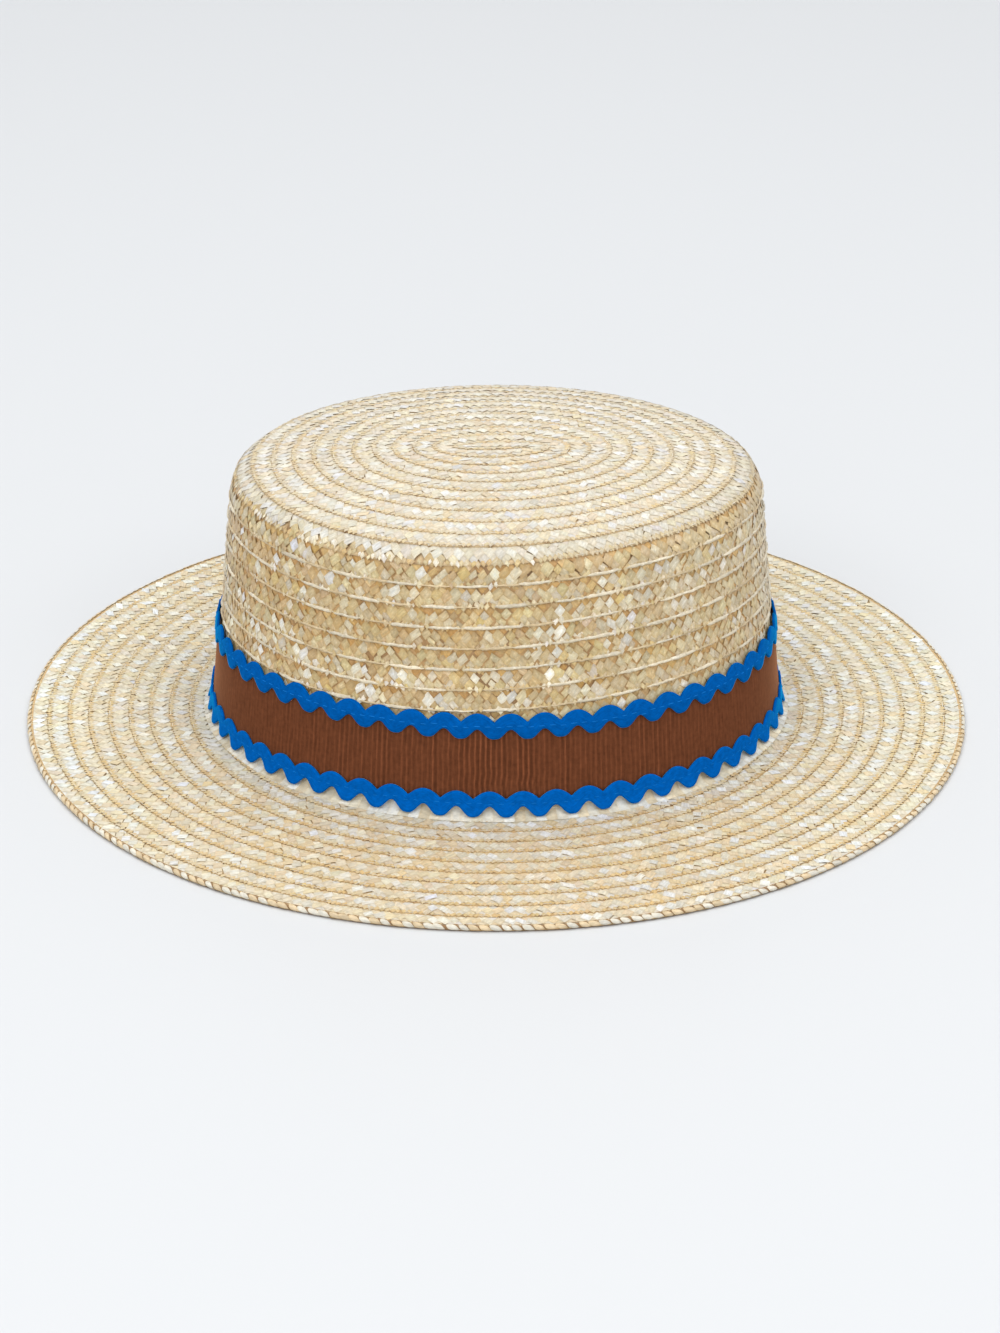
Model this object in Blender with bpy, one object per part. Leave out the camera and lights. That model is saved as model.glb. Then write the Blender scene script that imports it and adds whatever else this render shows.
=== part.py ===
"""Straw boater hat, resting on its brim.

Sizes are in metres, with +Z up. X runs along the length of the head and Y across it.
The origin lies under the middle of the hat, on the surface that it rests on.
"""

from math import asin, atan, atan2, cos, dist, hypot, sin, tau

import bmesh
import bpy

# Gap between neighbouring pieces
GAP = 0.0003

# Sewn straw: the wall, how far a row's outer edge stands over the next row, and a row's visible width
STRAW_WALL = 0.0015
ROW_LAP = 0.0007
ROW_PITCH = 0.00675

# Brim, a flat round plate
BRIM_RADIUS = 0.1575

# Crown, measured over the straw: half length lies along X and half width along Y
CROWN_HEIGHT = 0.093
FOOT_HALF_LENGTH = 0.095
FOOT_HALF_WIDTH = 0.087
TIP_HALF_LENGTH = 0.080
TIP_HALF_WIDTH = 0.0695
TIP_DOME = 0.0053
SHOULDER_RADIUS = 0.00875

# Ribbon round the foot of the crown
RIBBON_WIDTH = 0.0254
RIBBON_THICKNESS = 0.001

# Zigzag trims over the ribbon's edges: height from crest to trough, width of the tape itself,
# and length of a wave
TRIM_HEIGHT = 0.0082
TRIM_TAPE = 0.0053
TRIM_WAVE = 0.0104
TRIM_THICKNESS = 0.001

# Facets: sides of the straw and ribbon rings, points for each wave of a trim, and points of an oval
# whose length is measured
RING_SIDES = 48
WAVE_POINTS = 4
MEASURE_POINTS = 3600

# Edges that turn more than this, in radians, are shaded sharp, and points closer than this are one
SHARP_TURN = 0.5
WELD = 1e-7

# The tip falls away from its centre with this power of the distance, so its middle is nearly flat
DOME_POWER = 3

# A part row narrower than this share of the pitch is joined to the row beside it
LEAST_ROW = 0.25

# Stations of the crown's smooth inner face: shares of the way from the innermost row to the rim,
# and of the turn round the shoulder
INNER_TIP_SHARES = (0.35, 0.65, 0.85)
INNER_SHOULDER_SHARES = (0.0, 0.35, 0.7)

# Colour, roughness and metallic value of each piece
MATERIALS = {
    "crown": ((0.76, 0.62, 0.40), 0.45, 0.0),
    "brim": ((0.80, 0.67, 0.46), 0.45, 0.0),
    "ribbon_band": ((0.16, 0.048, 0.022), 0.75, 0.0),
    "ricrac_upper": ((0.0, 0.115, 0.48), 0.85, 0.0),
    "ricrac_lower": ((0.0, 0.115, 0.48), 0.85, 0.0),
}

# Levels that follow from the sizes above
BRIM_SEAT_Z = STRAW_WALL
BRIM_TOP_Z = STRAW_WALL + ROW_LAP
FOOT_Z = BRIM_SEAT_Z + GAP
RIM_Z = CROWN_HEIGHT - ROW_LAP - TIP_DOME
TRIM_LOW_Z = BRIM_TOP_Z + GAP + TRIM_HEIGHT / 2
TRIM_HIGH_Z = TRIM_LOW_Z + RIBBON_WIDTH

# Distances out from the side's straw face to the faces of the ribbon and the trims
RIBBON_INNER = ROW_LAP + GAP
RIBBON_OUTER = RIBBON_INNER + RIBBON_THICKNESS
TRIM_INNER = RIBBON_OUTER + GAP
TRIM_OUTER = TRIM_INNER + TRIM_THICKNESS


def side_angle(rim_slope):
    """Slope of the crown's side: the line that runs from the foot and touches the shoulder's arc."""
    rim = (TIP_HALF_LENGTH + TIP_HALF_WIDTH) / 2
    foot = (FOOT_HALF_LENGTH + FOOT_HALF_WIDTH) / 2 - ROW_LAP
    out = foot - (rim - SHOULDER_RADIUS * sin(rim_slope))
    down = RIM_Z - SHOULDER_RADIUS * cos(rim_slope) - FOOT_Z
    return atan2(down, out) + asin(SHOULDER_RADIUS / hypot(out, down))


# Slope of the straw at the rim, where the tip ends, and down the side
RIM_SLOPE = atan(DOME_POWER * TIP_DOME / TIP_HALF_WIDTH)
SIDE_SLOPE = side_angle(RIM_SLOPE)
SHOULDER_ARC = SHOULDER_RADIUS * (SIDE_SLOPE - RIM_SLOPE)
SHOULDER_OUT = SHOULDER_RADIUS * (sin(SIDE_SLOPE) - sin(RIM_SLOPE))
SIDE_TOP_Z = RIM_Z - SHOULDER_RADIUS * (cos(RIM_SLOPE) - cos(SIDE_SLOPE))
SIDE_LENGTH = (SIDE_TOP_Z - FOOT_Z) / sin(SIDE_SLOPE)
ROWS_END = SHOULDER_ARC + SIDE_LENGTH


def side_ring(height, outward):
    """Half length, half width and height of an oval round the side, some way out from the straw's face."""
    share = (SIDE_TOP_Z - height) / (SIDE_TOP_Z - FOOT_Z)
    out = outward / sin(SIDE_SLOPE)
    half_length = TIP_HALF_LENGTH + SHOULDER_OUT
    half_width = TIP_HALF_WIDTH + SHOULDER_OUT
    half_length += share * (FOOT_HALF_LENGTH - ROW_LAP - half_length) + out
    half_width += share * (FOOT_HALF_WIDTH - ROW_LAP - half_width) + out
    return half_length, half_width, height


def crown_ring(run, outward):
    """An oval of the crown, at a run along the straw that is 0 at the rim and below 0 on the tip."""
    if run >= ROWS_END:
        return side_ring(FOOT_Z, outward)
    if run > SHOULDER_ARC:
        height = SIDE_TOP_Z - (run - SHOULDER_ARC) * sin(SIDE_SLOPE)
        half_length, half_width, height = side_ring(height, 0)
        slope = SIDE_SLOPE
    elif run > 0:
        slope = RIM_SLOPE + run / SHOULDER_RADIUS
        out = SHOULDER_RADIUS * (sin(slope) - sin(RIM_SLOPE))
        half_length = TIP_HALF_LENGTH + out
        half_width = TIP_HALF_WIDTH + out
        height = RIM_Z - SHOULDER_RADIUS * (cos(RIM_SLOPE) - cos(slope))
    else:
        half_length = TIP_HALF_LENGTH + run
        half_width = TIP_HALF_WIDTH + run
        share = half_width / TIP_HALF_WIDTH
        height = RIM_Z + TIP_DOME * (1 - share ** DOME_POWER)
        slope = atan(DOME_POWER * TIP_DOME / TIP_HALF_WIDTH * share ** (DOME_POWER - 1))
    rise = outward * cos(slope)
    out = outward * sin(slope)
    return half_length + out, half_width + out, height + rise


def row_edges(start, end):
    """Edges of the sewn rows between two runs, with no narrow part row at the end."""
    edges = [start]
    while edges[-1] + (1 + LEAST_ROW) * ROW_PITCH < end:
        edges.append(edges[-1] + ROW_PITCH)
    return edges + [end]


def oval_run(half_length, half_width):
    """Distance run round an oval, from its +X side, at evenly spaced angles."""
    run = [0.0]
    last = (half_length, 0.0)
    for step in range(1, MEASURE_POINTS + 1):
        turn = tau * step / MEASURE_POINTS
        point = (half_length * cos(turn), half_width * sin(turn))
        run.append(run[-1] + dist(last, point))
        last = point
    return run


def oval_turns(half_length, half_width, count):
    """Angles that part an oval into stretches of equal length, starting on the +X side."""
    run = oval_run(half_length, half_width)
    turns = []
    step = 0
    for index in range(count):
        target = run[-1] * index / count
        while run[step + 1] < target:
            step += 1
        part = (target - run[step]) / (run[step + 1] - run[step])
        turns.append(tau * (step + part) / MEASURE_POINTS)
    return turns


def oval_points(ring):
    """Points of a level oval given by half length, half width and height."""
    half_length, half_width, height = ring
    turns = [tau * side / RING_SIDES for side in range(RING_SIDES)]
    return [(half_length * cos(turn), half_width * sin(turn), height) for turn in turns]


def extrude_loop(bm, loop, points):
    """Extrudes a closed loop of vertices and moves the new loop to the given points."""
    edges = [bm.edges.get((loop[i - 1], loop[i])) for i in range(len(loop))]
    made = bmesh.ops.extrude_edge_only(bm, edges=edges)["geom"]
    fresh = {item for item in made if isinstance(item, bmesh.types.BMVert)}
    new_loop = []
    for vert, point in zip(loop, points):
        twin = next(e.other_vert(vert) for e in vert.link_edges if e.other_vert(vert) in fresh)
        twin.co = point
        new_loop.append(twin)
    return new_loop


def add_piece(name, loops, capped):
    """Makes a solid through closed loops of points, capped at both ends or joined end to end."""
    bm = bmesh.new()
    first = [bm.verts.new(point) for point in loops[0]]
    for i in range(len(first)):
        bm.edges.new((first[i - 1], first[i]))
    loop = first
    for points in loops[1:] if capped else loops[1:] + loops[:1]:
        loop = extrude_loop(bm, loop, points)
    if capped:
        bm.faces.new(first)
        bm.faces.new(loop)
    else:
        bmesh.ops.remove_doubles(bm, verts=first + loop, dist=WELD)
    bmesh.ops.recalc_face_normals(bm, faces=bm.faces)
    mesh = bpy.data.meshes.new(name)
    bm.to_mesh(mesh)
    bm.free()
    mesh.shade_smooth()
    mesh.set_sharp_from_angle(angle=SHARP_TURN)
    mesh.materials.append(make_material(name))
    piece = bpy.data.objects.new(name, mesh)
    bpy.context.scene.collection.objects.link(piece)
    return piece


def make_material(name):
    """A Principled material with the piece's own colour, roughness and metallic value."""
    colour, roughness, metallic = MATERIALS[name]
    material = bpy.data.materials.new(name)
    material.use_nodes = True
    shader = material.node_tree.nodes["Principled BSDF"]
    shader.inputs["Base Color"].default_value = (*colour, 1.0)
    shader.inputs["Roughness"].default_value = roughness
    shader.inputs["Metallic"].default_value = metallic
    return material


def add_crown():
    """Domed tip, round shoulder and splayed side, hollow below, with every row lapped over the next."""
    tip_rows = int(TIP_HALF_WIDTH / ROW_PITCH - LEAST_ROW)
    start = -tip_rows * ROW_PITCH
    edges = row_edges(start, ROWS_END)
    outer = []
    for near, far in zip(edges, edges[1:]):
        on_shoulder = far > 0 and near < SHOULDER_ARC
        outer.append(crown_ring(near, 0))
        if on_shoulder:
            outer.append(crown_ring((near + far) / 2, ROW_LAP / 2))
        outer.append(crown_ring(far, ROW_LAP))
    inner_runs = [start * (1 - share) for share in (0.0, *INNER_TIP_SHARES)]
    inner_runs += [SHOULDER_ARC * share for share in INNER_SHOULDER_SHARES]
    inner_runs += [SHOULDER_ARC, ROWS_END]
    inner = [crown_ring(run, -STRAW_WALL) for run in reversed(inner_runs)]
    return add_piece("crown", [oval_points(ring) for ring in outer + inner], capped=True)


def add_brim():
    """Flat round brim: a level seat under the crown's foot, then rows that follow the round edge."""
    hole = side_ring(FOOT_Z, -STRAW_WALL)
    seat = side_ring(FOOT_Z, ROW_LAP + GAP)
    widest = max(seat[0], seat[1])
    rows = int((BRIM_RADIUS - widest) / ROW_PITCH - LEAST_ROW / 2)
    rings = [(hole[0], hole[1], 0.0), (hole[0], hole[1], BRIM_SEAT_Z), (seat[0], seat[1], BRIM_SEAT_Z)]
    for row in range(rows, 0, -1):
        radius = BRIM_RADIUS - row * ROW_PITCH
        rings += [(radius, radius, BRIM_TOP_Z), (radius, radius, BRIM_SEAT_Z)]
    rings += [(BRIM_RADIUS, BRIM_RADIUS, BRIM_TOP_Z), (BRIM_RADIUS, BRIM_RADIUS, 0.0)]
    return add_piece("brim", [oval_points(ring) for ring in rings], capped=False)


def add_ribbon():
    """Ribbon round the foot of the crown, from the middle of one trim to the middle of the other."""
    rings = [side_ring(TRIM_LOW_Z, RIBBON_INNER), side_ring(TRIM_HIGH_Z, RIBBON_INNER)]
    rings += [side_ring(TRIM_HIGH_Z, RIBBON_OUTER), side_ring(TRIM_LOW_Z, RIBBON_OUTER)]
    return add_piece("ribbon_band", [oval_points(ring) for ring in rings], capped=False)


def add_trim(name, middle):
    """Zigzag tape that rides over an edge of the ribbon, with a whole number of waves round the crown."""
    half_length, half_width, _ = side_ring(middle, TRIM_INNER)
    waves = round(oval_run(half_length, half_width)[-1] / TRIM_WAVE)
    turns = oval_turns(half_length, half_width, waves * WAVE_POINTS)
    swing = (TRIM_HEIGHT - TRIM_TAPE) / 2
    loops = []
    for up, outward in ((-1, TRIM_INNER), (1, TRIM_INNER), (1, TRIM_OUTER), (-1, TRIM_OUTER)):
        points = []
        for index, turn in enumerate(turns):
            height = middle + swing * cos(tau * index / WAVE_POINTS) + up * TRIM_TAPE / 2
            half_length, half_width, _ = side_ring(height, outward)
            points.append((half_length * cos(turn), half_width * sin(turn), height))
        loops.append(points)
    return add_piece(name, loops, capped=False)


def main():
    for old in list(bpy.context.scene.objects):
        bpy.data.objects.remove(old)
    add_crown()
    add_brim()
    add_ribbon()
    add_trim("ricrac_upper", TRIM_HIGH_Z)
    add_trim("ricrac_lower", TRIM_LOW_Z)


main()
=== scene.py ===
"""Dresses the straw boater hat: plaited straw sewn in rows, a ribbed ribbon and two zigzag trims.

Sizes are in metres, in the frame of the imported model.
"""

from math import asin, atan, atan2, cos, hypot, radians, sin, tau

import bpy
import numpy as np
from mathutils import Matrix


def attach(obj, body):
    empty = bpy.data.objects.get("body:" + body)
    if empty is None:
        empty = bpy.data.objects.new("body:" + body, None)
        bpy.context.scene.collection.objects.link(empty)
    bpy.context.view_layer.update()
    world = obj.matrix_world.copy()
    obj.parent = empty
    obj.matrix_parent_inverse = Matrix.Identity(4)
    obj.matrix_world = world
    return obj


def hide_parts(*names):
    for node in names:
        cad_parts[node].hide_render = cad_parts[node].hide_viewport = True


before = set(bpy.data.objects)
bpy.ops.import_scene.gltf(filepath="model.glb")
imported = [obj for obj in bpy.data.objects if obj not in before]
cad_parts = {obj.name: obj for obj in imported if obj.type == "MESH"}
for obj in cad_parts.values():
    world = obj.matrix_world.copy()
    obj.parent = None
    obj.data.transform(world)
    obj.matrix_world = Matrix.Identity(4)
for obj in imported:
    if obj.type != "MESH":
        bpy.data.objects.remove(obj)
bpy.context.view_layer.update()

# The hat's own sizes, as in the solids, but with the real thickness of the ribbon and the trims
GAP = 0.0003
STRAW_WALL = 0.0015
ROW_LAP = 0.0007
ROW_PITCH = 0.00675
BRIM_RADIUS = 0.1575
CROWN_HEIGHT = 0.093
FOOT_HALF_LENGTH = 0.095
FOOT_HALF_WIDTH = 0.087
TIP_HALF_LENGTH = 0.080
TIP_HALF_WIDTH = 0.0695
TIP_DOME = 0.0053
SHOULDER_RADIUS = 0.00875
DOME_POWER = 3
RIBBON_WIDTH = 0.0254
RIBBON_THICKNESS = 0.0005
TRIM_HEIGHT = 0.0082
TRIM_TAPE = 0.0053
TRIM_WAVE = 0.0104
TRIM_THICKNESS = 0.0008
TRIM_GAP = 0.0001

BRIM_SEAT_Z = STRAW_WALL
BRIM_TOP_Z = STRAW_WALL + ROW_LAP
FOOT_Z = BRIM_SEAT_Z + GAP
RIM_Z = CROWN_HEIGHT - ROW_LAP - TIP_DOME
TRIM_LOW_Z = BRIM_TOP_Z + GAP + TRIM_HEIGHT / 2
TRIM_HIGH_Z = TRIM_LOW_Z + RIBBON_WIDTH
RIBBON_INNER = ROW_LAP + GAP
RIBBON_OUTER = RIBBON_INNER + RIBBON_THICKNESS
TRIM_INNER = RIBBON_OUTER + TRIM_GAP
TRIM_OUTER = TRIM_INNER + TRIM_THICKNESS

# Plait: length of a cell along the row, and strands in the plait
CELL = 0.0033
STRANDS = 7
PALE_STRANDS = 3

# Straws of a strand: share that is pale among tan ones or tan among pale ones, least and most length
# in cells, scatter of the brightness, and length in cells of a group of dull or bright pale straws,
# the bright ones partly painted glints, with how often a straw follows it
STRAY_SHARE = 0.16
STRAW_SPAN = (20, 90)
STRAW_SCATTER = 0.05
GROUP = 24
GROUP_SHARE = 0.8

# Cells: scatter in place, size and lean, how far they tilt, bulge across and dip along, how far the
# grain moves on from one to the next, and what warmth does to the colour
CELL_SCATTER = 0.00030
CELL_SIZE_SCATTER = 0.15
CELL_LEAN_SCATTER = 0.28
CELL_TILT = 0.00016
CELL_BULGE = 0.00030
CELL_DIP = 0.00020
CELL_GRAIN = 1.7
WARMTH_TINT = (0.15, 0.0, -1.0)

# Lanes of cells across a row: middle, half height, rise, direction of the strands, colour offset in
# strands, name or values of the tone, cells in a length of CELL, and how far the colours are drawn
# to their mean
LANES = (
    # The notch lane, half under the row above: its darker tone is painted shade under that lap
    (0.00075, 0.00190, -0.00012, -1, 5, "notch", 1, 0.25),
    (0.00455, 0.00190, -0.00002, -1, 2, (0.98, 0.96, 0.93), 1, 0.42),
    (0.00600, 0.00118, 0.00004, 1, 0, "hem", 2, 0.30),
    (0.00265, 0.00195, 0.00008, 1, 0, (1.00, 1.00, 1.00), 1, 0.10),
)
BACK_LANES = (
    (0.00080, 0.00185, -0.00004, -1, 5, (0.97, 0.96, 0.94), 1, 0.2),
    (0.00445, 0.00185, 0.00000, -1, 2, (0.97, 0.96, 0.94), 1, 0.2),
    (0.00260, 0.00195, 0.00006, 1, 0, (1.00, 1.00, 1.00), 1, 0.0),
    # Lane under the next row's edge: its darker tone is painted shade
    (0.00630, 0.00150, 0.00006, 1, 0, (0.80, 0.68, 0.50), 1, 0.5),
)

# Edge straws: place across the row and height, how often the even and the odd ones are pale, size of
# the others, dip of their ends, scatter of place, radius and brightness, depth of their crumples,
# half length as a share of a step, taper, wobble, and how the grain runs along and round a straw
# and moves on to the next
RIDGE_ACROSS = 0.00635
RIDGE_RISE = 0.00010
RIDGE_PALE = (0.90, 0.35)
RIDGE_DARK_SIZE = 0.7
RIDGE_DIP = 0.00030
RIDGE_SHIFT = 0.15
RIDGE_SIZE_SCATTER = 0.16
RIDGE_SHADE_SCATTER = 0.07
RIDGE_CRUMPLE = 0.12
RIDGE_HALF = 0.54
RIDGE_TAPER = 0.45
RIDGE_WOBBLE = 0.15
RIDGE_GRAIN = (0.4, 6, 2.3, 1.2)

# Looks of the straw. The side's colours are darker and warmer, partly painted shade on the side, and
# the tip's and brim's are paler and bluer, partly painted light from above:
# tan, pale: colours of the tan and of the pale straws, with how often each is met
# notch, hem: tones of the notches under a lap, painted shade there, and of the small cells at a row's edge
# scatter, warmth: how far brightness and warmth vary from cell to cell
# relief, spread: shares of the full relief and of the full scatter in place
# shoulder: brightness at the shoulder, painted shade where the tip turns down
# even_right: how far the colours and the relief even out on the right, where the painted glints fade
# overlap, hem_overlap: size of the cells and of the small ones, against the room of each
# gloss: specular level
# border, border_share, border_from: tone, strength and start of a cell's border, painted shade there
# flecks: tone of the flecks, small painted glints
# core, pit, pit_share: colours of the core under the cells and of its pits, and their share; the core
# is partly the straw's own orange-brown and partly painted shade in the gaps, its pits painted shade
# core_steps: steps of the core in a cell's length
# end_shade, end_tone: painted shade of the core towards the ends, turned into painted light where
# end_shade is below 0, and a paler, bluer tone of the cells towards the ends, against the brim's radius
# lap: height of a row's lap
# ridge: the two colours of the edge straws, followed by radius, length in cells, filled share, and
# points along and around
SIDE_LOOK = {
    # Darker, warmer straw: partly painted shade on the side; the brightest pale straw is partly painted
    # glints
    "tan": (((0.561, 0.437, 0.229), 0.45), ((0.522, 0.364, 0.172), 0.25), ((0.551, 0.470, 0.282), 0.30)),
    "pale": (((0.638, 0.567, 0.403), 0.50), ((0.758, 0.745, 0.660), 0.50)),
    "notch": (0.96, 0.76, 0.50),
    "hem": (1.05, 1.02, 0.98),
    "scatter": 0.065,
    "warmth": 0.08,
    "relief": 0.48,
    "spread": 1.0,
    "shoulder": 1.0,
    "even_right": 0.45,
    "overlap": 1.12,
    "hem_overlap": 1.08,
    "gloss": 0.45,
    "border": (0.88, 0.76, 0.57),
    "border_share": 0.62,
    "border_from": 0.20,
    "flecks": (1.14, 1.18, 1.27),
    "core": (0.500, 0.300, 0.120),
    "pit": (0.300, 0.165, 0.065),
    "pit_share": 0.25,
    "core_steps": 1,
    "end_shade": -1.6,
    "end_tone": (0.0, 0.0, 0.0),
    "lap": 0.00050,
    "ridge": ((0.705, 0.630, 0.480), (0.600, 0.475, 0.290)),
    "ridge_radius": 0.00052,
    "ridge_cells": 3.2,
    "ridge_fill": 0.98,
    "ridge_mesh": (10, 4),
}
TIP_LOOK = {
    # Paler, bluer straw: partly painted light from above
    "tan": (((0.686, 0.613, 0.485), 0.45), ((0.681, 0.569, 0.405), 0.15), ((0.686, 0.638, 0.520), 0.40)),
    "pale": (((0.693, 0.664, 0.585), 0.50), ((0.704, 0.694, 0.648), 0.50)),
    "notch": (0.985, 0.95, 0.88),
    "hem": (0.96, 0.86, 0.68),
    "scatter": 0.025,
    "warmth": 0.05,
    "relief": 0.14,
    "spread": 0.50,
    "shoulder": 0.86,
    "even_right": 0.0,
    "overlap": 1.18,
    "hem_overlap": 1.05,
    "gloss": 0.20,
    "border": (0.95, 0.89, 0.79),
    "border_share": 0.70,
    "border_from": 0.35,
    "flecks": (1.03, 1.04, 1.06),
    "core": (0.720, 0.530, 0.300),
    "pit": (0.300, 0.170, 0.070),
    "pit_share": 0.20,
    "core_steps": 2,
    "end_shade": 0.5,
    "end_tone": (0.0, 0.0, 0.0),
    "lap": 0.00013,
    "ridge": ((0.750, 0.680, 0.540), (0.725, 0.600, 0.410)),
    "ridge_radius": 0.00015,
    "ridge_cells": 1.75,
    "ridge_fill": 0.60,
    "ridge_mesh": (5, 3),
}
BRIM_LOOK = {
    **TIP_LOOK,
    "shoulder": 1.0,
    "end_tone": (0.055, 0.125, 0.200),
    "hem": (0.94, 0.80, 0.57),
    "lap": 0.00017,
    "core": (0.640, 0.425, 0.200),
    # Paler, bluer straw: partly painted light from above
    "tan": (((0.690, 0.598, 0.432), 0.45), ((0.676, 0.540, 0.348), 0.20), ((0.692, 0.634, 0.494), 0.35)),
    "pale": (((0.706, 0.670, 0.572), 0.50), ((0.722, 0.715, 0.664), 0.50)),
}
SEED = 4276

# Camera: focal length in pixels of the frame, the frame's long side, sensor, pitch, distance from its
# aim, and the aim's place to the side and height
CAMERA_FOCUS_PX = 3456.1
FRAME_LONG_PX = 1333
SENSOR = 36.0
CAMERA_PITCH = radians(25.418)
CAMERA_DISTANCE = 1.16413
CAMERA_SIDE = 0.00127
CAMERA_LEVEL = 0.01282


def stacked(*values):
    """Joins coordinates as the last axis, stretched to one shape."""
    return np.stack(np.broadcast_arrays(*values), axis=-1)


def side_angle(rim_slope):
    """Slope of the crown's side: the line that runs from the foot and touches the shoulder's arc."""
    rim = (TIP_HALF_LENGTH + TIP_HALF_WIDTH) / 2
    foot = (FOOT_HALF_LENGTH + FOOT_HALF_WIDTH) / 2 - ROW_LAP
    out = foot - (rim - SHOULDER_RADIUS * sin(rim_slope))
    down = RIM_Z - SHOULDER_RADIUS * cos(rim_slope) - FOOT_Z
    return atan2(down, out) + asin(SHOULDER_RADIUS / hypot(out, down))


RIM_SLOPE = atan(DOME_POWER * TIP_DOME / TIP_HALF_WIDTH)
SIDE_SLOPE = side_angle(RIM_SLOPE)
SHOULDER_ARC = SHOULDER_RADIUS * (SIDE_SLOPE - RIM_SLOPE)
SHOULDER_OUT = SHOULDER_RADIUS * (sin(SIDE_SLOPE) - sin(RIM_SLOPE))
SIDE_TOP_Z = RIM_Z - SHOULDER_RADIUS * (cos(RIM_SLOPE) - cos(SIDE_SLOPE))
SIDE_LENGTH = (SIDE_TOP_Z - FOOT_Z) / sin(SIDE_SLOPE)
ROWS_END = SHOULDER_ARC + SIDE_LENGTH

# Where the painted shade at the shoulder and the evening out of the right side, which fades the
# painted glints there, set in, and where the relief calms down towards the crown's ends, and how far
SHOULDER_LEVELS = (RIM_Z - 0.0030, RIM_Z + 0.0025)
RIGHT_SIDE = (0.020, 0.060)
END_REACH = (0.055, 0.085)
END_CALM = 0.4

# Lowest level of the tip's look, and highest one of the side's edge straws
TIP_LEVEL = RIM_Z - 0.0024
RIDGE_LEVEL = RIM_Z - 0.006


def side_ring(height, outward):
    """Half length, half width and height of ovals round the side, some way out from the straw's face."""
    share = (SIDE_TOP_Z - height) / (SIDE_TOP_Z - FOOT_Z)
    out = outward / sin(SIDE_SLOPE)
    half_length = TIP_HALF_LENGTH + SHOULDER_OUT
    half_width = TIP_HALF_WIDTH + SHOULDER_OUT
    half_length = half_length + share * (FOOT_HALF_LENGTH - ROW_LAP - half_length) + out
    half_width = half_width + share * (FOOT_HALF_WIDTH - ROW_LAP - half_width) + out
    return half_length, half_width, height


def crown_point(heading, run, outward):
    """Points of the crown: heading is the angle, and run is 0 at the rim and below 0 on the tip."""
    run = np.clip(run, -TIP_HALF_WIDTH, ROWS_END)
    slope = RIM_SLOPE + np.clip(run, 0, SHOULDER_ARC) / SHOULDER_RADIUS
    turned = SHOULDER_RADIUS * (np.sin(slope) - sin(RIM_SLOPE))
    on_tip = np.minimum(run, 0)
    half_length = TIP_HALF_LENGTH + on_tip + turned
    half_width = TIP_HALF_WIDTH + on_tip + turned
    share = (TIP_HALF_WIDTH + on_tip) / TIP_HALF_WIDTH
    height = RIM_Z + TIP_DOME * (1 - share ** DOME_POWER)
    height = height - SHOULDER_RADIUS * (cos(RIM_SLOPE) - np.cos(slope))
    tip_slope = np.arctan(DOME_POWER * TIP_DOME / TIP_HALF_WIDTH * share ** (DOME_POWER - 1))
    slope = np.where(run < 0, tip_slope, slope)
    down = np.maximum(run - SHOULDER_ARC, 0) * sin(SIDE_SLOPE)
    part = down / (SIDE_TOP_Z - FOOT_Z)
    half_length = half_length + part * (FOOT_HALF_LENGTH - ROW_LAP - TIP_HALF_LENGTH - SHOULDER_OUT)
    half_width = half_width + part * (FOOT_HALF_WIDTH - ROW_LAP - TIP_HALF_WIDTH - SHOULDER_OUT)
    out = outward * np.sin(slope)
    x = (half_length + out) * np.cos(heading)
    y = (half_width + out) * np.sin(heading)
    return stacked(x, y, height - down + outward * np.cos(slope))


# The crown's spiral starts at this heading and goes clockwise, one row lower after each turn.
# Its rows wander a little, by a share of a row, with two and three waves round the crown
CROWN_START = radians(16.7)
WANDER_MIDDLE = radians(-113)
WANDER_OFFSET = -0.06
WANDER_TWO = 0.07
WANDER_THREE = 0.13

# The brim's rows are round in front, and move out by a row behind, between these headings
BRIM_SHIFT_FROM = radians(160)
BRIM_SHIFT_TO = radians(20)


def crown_heading(turn):
    return CROWN_START - turn


def crown_row(turn):
    """Run of the inner edge of the crown's strip, for a turn counted from its start at the centre."""
    heading = crown_heading(turn) - WANDER_MIDDLE
    wander = WANDER_OFFSET + WANDER_TWO * np.cos(2 * heading) + WANDER_THREE * np.cos(3 * heading)
    run = ROW_PITCH * (turn / tau - 1) - TIP_HALF_WIDTH
    fade = np.clip((run + TIP_HALF_WIDTH) / TIP_HALF_WIDTH, 0, 1)
    return run + ROW_PITCH * wander * fade


def crown_front(turn, across, outward):
    """The crown's outer face, at a distance across the strip, every row lapped over the next."""
    run = crown_row(turn) + across
    rise = np.interp(run, (-ROW_PITCH, 0), (TIP_LOOK["lap"], SIDE_LOOK["lap"]))
    lap = rise * np.clip(across / ROW_PITCH, 0, 1)
    return crown_point(crown_heading(turn), run, outward + lap)


def crown_back(turn, across, outward):
    """The crown's inner face, where each row's upper edge laps over the row above."""
    lap = BACK_LAP * np.clip(1 - across / ROW_PITCH, 0, 1)
    depth = STRAW_WALL - BACK_LAP + lap + outward
    return crown_point(crown_heading(turn), crown_row(turn) + across, -depth)


def brim_heading(turn):
    return BRIM_SHIFT_FROM - turn


def brim_row(turn):
    """Radius of the inner edge of the brim's strip. A turn starts behind the crown, on its left."""
    rows, part = np.divmod(turn, tau)
    share = np.clip(part / (BRIM_SHIFT_FROM - BRIM_SHIFT_TO), 0, 1)
    share = share * share * (3 - 2 * share)
    return BRIM_RADIUS - ROW_PITCH * (BRIM_ROWS - rows - share + 1)


def brim_front(turn, across, outward):
    radius = np.minimum(brim_row(turn) + across, BRIM_RADIUS - EDGE_DEPTH - EDGE_GAP)
    heading = brim_heading(turn)
    lap = BRIM_LOOK["lap"] * np.clip(across / ROW_PITCH, 0, 1)
    height = BRIM_SEAT_Z + lap + outward
    return stacked(radius * np.cos(heading), radius * np.sin(heading), height)


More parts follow.
